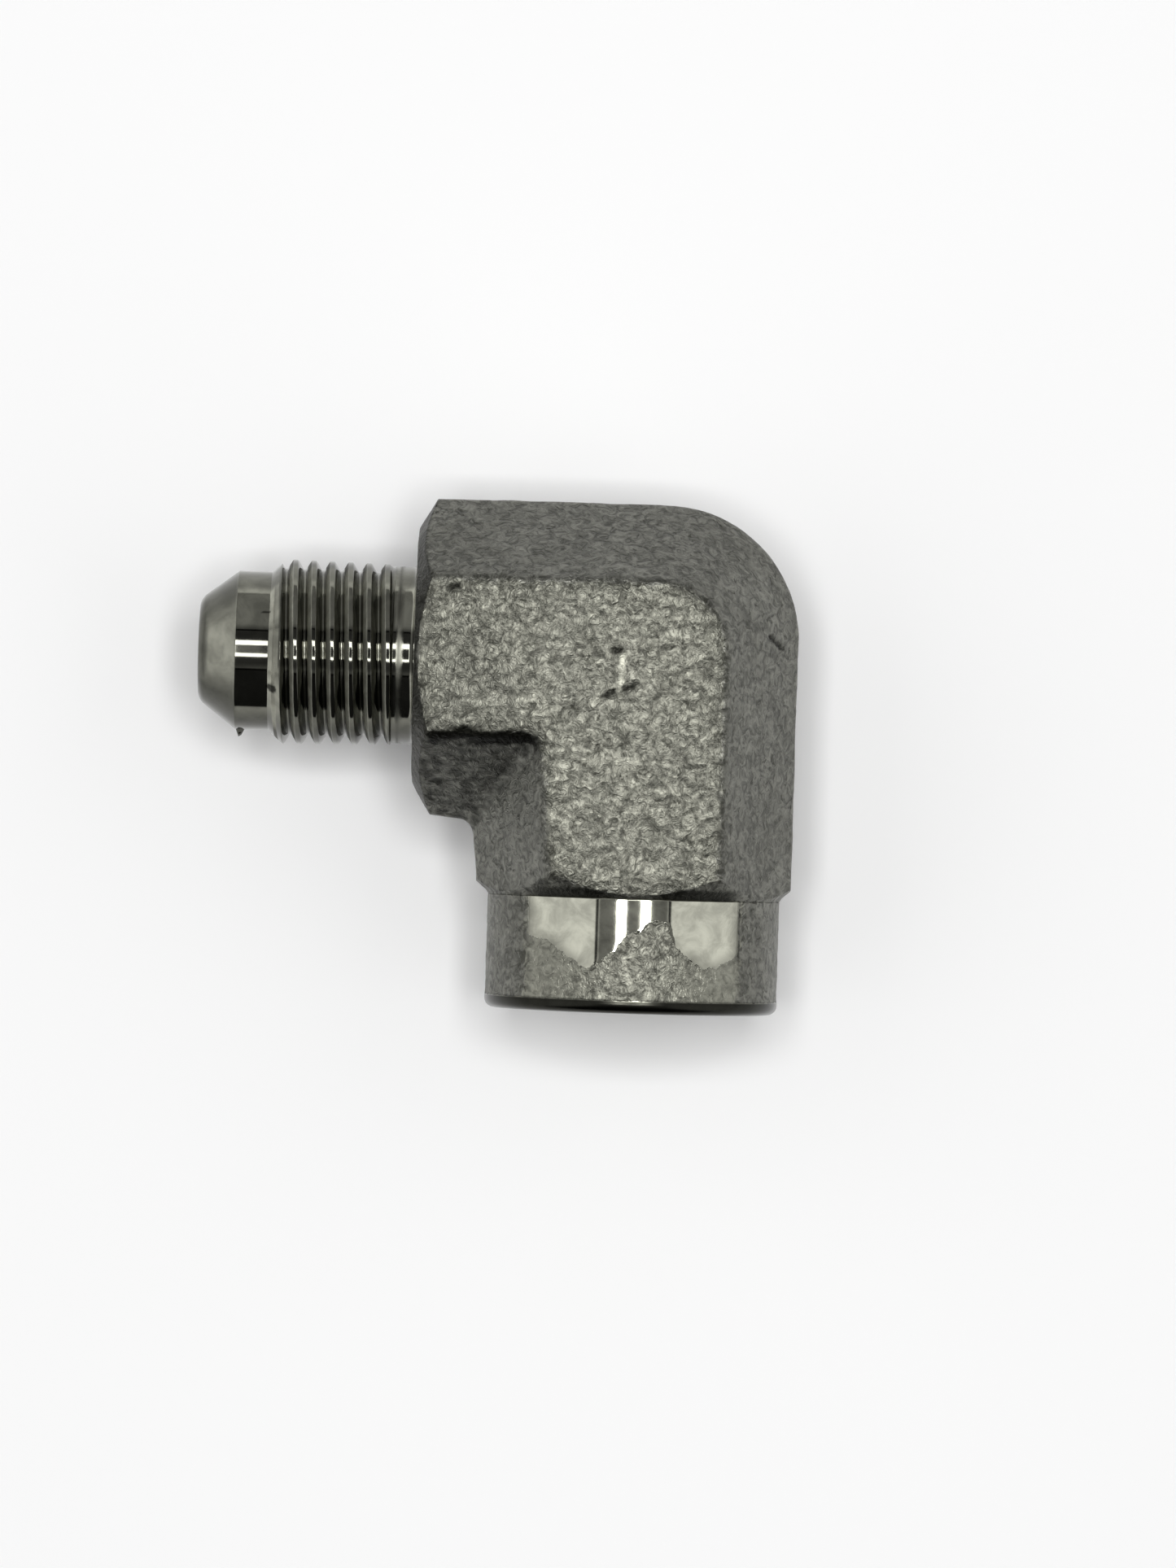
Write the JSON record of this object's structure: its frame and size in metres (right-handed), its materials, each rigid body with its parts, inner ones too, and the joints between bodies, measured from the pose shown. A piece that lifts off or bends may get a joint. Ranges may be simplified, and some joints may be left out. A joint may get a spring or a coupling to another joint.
{
  "type": "hydraulic elbow adapter",
  "caption": "Right-angle hydraulic adapter: one forged and turned steel body with a threaded 37 degree flare end and a female tapered pipe port in a round collar.",
  "frame": {"origin": "on the back wrench flat, under the point where the axes of the two bores cross", "axes": "-X along the flared end's axis, pointing out of the nose; -Y along the pipe port's axis, pointing out of its mouth; +Z out of the front wrench flat, normal to the plane of the two bores"},
  "size_m": [0.046, 0.039, 0.0227],
  "materials": {
    "forged_steel": "zinc plated over a shot-blasted forging, grainy satin grey",
    "turned_steel": "zinc plated over a turned surface, bright with fine turning lines"
  },
  "bodies": {
    "root": {"elbow_body": "forged_steel"}
  },
  "joints": []
}
